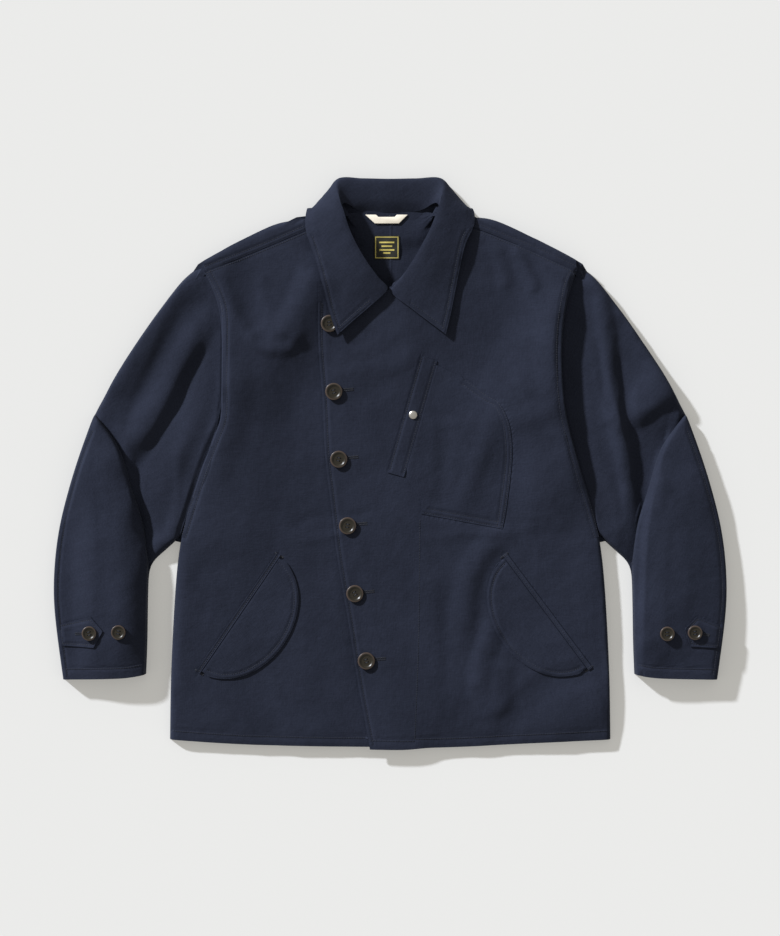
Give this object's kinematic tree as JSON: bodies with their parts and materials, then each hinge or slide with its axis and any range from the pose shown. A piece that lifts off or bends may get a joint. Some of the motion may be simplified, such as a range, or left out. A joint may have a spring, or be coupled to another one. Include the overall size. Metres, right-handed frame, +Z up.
{
  "type": "despatch rider jacket",
  "caption": "Short collared work jacket of plain cotton cloth, laid flat and buttoned, with a slanted lapped front, chest pocket and D-shaped lower pockets.",
  "frame": {"origin": "middle of the underside of the jacket's box, on the surface that it lies on", "axes": "+X across the jacket towards the wearer's left, +Y from hem to collar, +Z up out of the surface"},
  "size_m": [0.9094, 0.7706, 0.0261],
  "materials": {
    "navy_cloth": "dense matt cotton cloth with a faint weave and soft sheen",
    "horn_button": "dark brown horn-like, polished rim",
    "cream_tape": "cream cotton twill tape",
    "black_label": "woven black label with a plain yellow border",
    "steel_snap": "satin silver snap cap"
  },
  "bodies": {
    "root": {"front_right_underlap": "navy_cloth", "front_left_overlap": "navy_cloth", "back_right_panel": "navy_cloth", "back_left_panel": "navy_cloth", "sleeve_top_right": "navy_cloth", "sleeve_under_right": "navy_cloth", "sleeve_top_left": "navy_cloth", "sleeve_under_left": "navy_cloth", "collar": "navy_cloth", "pocket_flap_right": "navy_cloth", "pocket_welt_right": "navy_cloth", "pocket_flap_left": "navy_cloth", "pocket_welt_left": "navy_cloth", "chest_pocket_patch": "navy_cloth", "chest_pocket_band": "navy_cloth", "cuff_tab_right": "navy_cloth", "cuff_tab_left": "navy_cloth", "front_button_1": "horn_button", "front_button_2": "horn_button", "front_button_3": "horn_button", "front_button_4": "horn_button", "front_button_5": "horn_button", "front_button_6": "horn_button", "cuff_button_right_tab": "horn_button", "cuff_button_right_sleeve": "horn_button", "cuff_button_left_tab": "horn_button", "cuff_button_left_sleeve": "horn_button", "snap_cap": "steel_snap", "hanger_loop": "cream_tape", "neck_label": "black_label"}
  },
  "joints": []
}
